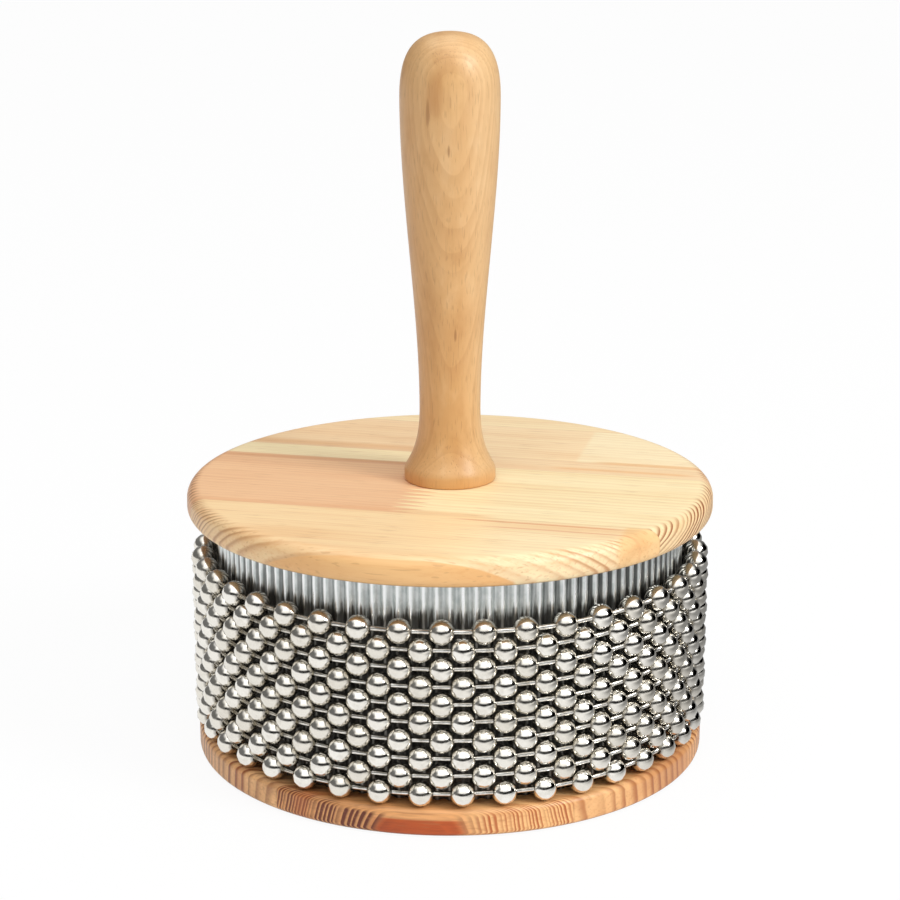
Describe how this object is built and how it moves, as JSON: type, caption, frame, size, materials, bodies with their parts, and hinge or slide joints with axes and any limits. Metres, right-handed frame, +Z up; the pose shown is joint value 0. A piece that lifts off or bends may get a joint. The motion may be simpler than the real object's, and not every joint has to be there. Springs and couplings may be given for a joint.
{
  "type": "cabasa",
  "caption": "Hand percussion shaker: loops of steel ball chain turn and slide loosely round a ribbed steel drum held between wooden discs on a turned wooden handle.",
  "frame": {"origin": "centre of the lower disc's underside, which the instrument stands on", "axes": "+Z up the handle's axis, -Y towards the viewer of the picture, +Y towards the sleeve's seam"},
  "size_m": [0.13, 0.13, 0.1769],
  "materials": {
    "handle_wood": "oiled beech, satin",
    "disc_wood": "finger-jointed pine, satin",
    "rim_wood": "edge-glued pine, satin",
    "core_wood": "plain turned softwood",
    "sleeve_steel": "ribbed sheet, bright",
    "brad_steel": "bright wire",
    "screw_steel": "zinc plated",
    "bead_nickel": "nickel plated, polished",
    "link_steel": "nickel plated wire"
  },
  "bodies": {
    "drum": {"handle": "handle_wood", "upper_disc": "disc_wood", "lower_disc": "rim_wood", "core": "core_wood", "ribbed_sleeve": "sleeve_steel", "seam_brads": "brad_steel", "centre_screw": "screw_steel"},
    "loop_01": {"bead_loop_01": "bead_nickel", "link_loop_01": "link_steel"},
    "loop_02": {"bead_loop_02": "bead_nickel", "link_loop_02": "link_steel"},
    "loop_03": {"bead_loop_03": "bead_nickel", "link_loop_03": "link_steel"},
    "loop_04": {"bead_loop_04": "bead_nickel", "link_loop_04": "link_steel"},
    "loop_05": {"bead_loop_05": "bead_nickel", "link_loop_05": "link_steel"},
    "loop_06": {"bead_loop_06": "bead_nickel", "link_loop_06": "link_steel"},
    "loop_07": {"bead_loop_07": "bead_nickel", "link_loop_07": "link_steel"},
    "loop_08": {"bead_loop_08": "bead_nickel", "link_loop_08": "link_steel"},
    "loop_09": {"bead_loop_09": "bead_nickel", "link_loop_09": "link_steel"},
    "loop_10": {"bead_loop_10": "bead_nickel", "link_loop_10": "link_steel"}
  },
  "joints": [
    {"name": "chain_turn", "type": "hinge", "parent": "drum", "child": "loop_01", "pos_m": [0, 0, 0.00985], "axis": [0, 0, 1], "continuous": true},
    {"name": "loop_02_lift", "type": "slide", "parent": "loop_01", "child": "loop_02", "axis": [0, 0, 1], "range_m": [0, 0.000878]},
    {"name": "loop_03_lift", "type": "slide", "parent": "loop_01", "child": "loop_03", "axis": [0, 0, 1], "range_m": [0, 0.00176]},
    {"name": "loop_04_lift", "type": "slide", "parent": "loop_01", "child": "loop_04", "axis": [0, 0, 1], "range_m": [0, 0.00263]},
    {"name": "loop_05_lift", "type": "slide", "parent": "loop_01", "child": "loop_05", "axis": [0, 0, 1], "range_m": [0, 0.00351]},
    {"name": "loop_06_lift", "type": "slide", "parent": "loop_01", "child": "loop_06", "axis": [0, 0, 1], "range_m": [0, 0.00439]},
    {"name": "loop_07_lift", "type": "slide", "parent": "loop_01", "child": "loop_07", "axis": [0, 0, 1], "range_m": [0, 0.00527]},
    {"name": "loop_08_lift", "type": "slide", "parent": "loop_01", "child": "loop_08", "axis": [0, 0, 1], "range_m": [0, 0.00614]},
    {"name": "loop_09_lift", "type": "slide", "parent": "loop_01", "child": "loop_09", "axis": [0, 0, 1], "range_m": [0, 0.00702]},
    {"name": "loop_10_lift", "type": "slide", "parent": "loop_01", "child": "loop_10", "axis": [0, 0, 1], "range_m": [0, 0.0079]}
  ],
  "couplings": [
    {"joint": "loop_02_lift", "follows": "loop_10_lift", "ratio": 0.11111},
    {"joint": "loop_03_lift", "follows": "loop_10_lift", "ratio": 0.22222},
    {"joint": "loop_04_lift", "follows": "loop_10_lift", "ratio": 0.33333},
    {"joint": "loop_05_lift", "follows": "loop_10_lift", "ratio": 0.44444},
    {"joint": "loop_06_lift", "follows": "loop_10_lift", "ratio": 0.55555},
    {"joint": "loop_07_lift", "follows": "loop_10_lift", "ratio": 0.66666},
    {"joint": "loop_08_lift", "follows": "loop_10_lift", "ratio": 0.77777},
    {"joint": "loop_09_lift", "follows": "loop_10_lift", "ratio": 0.88888}
  ]
}
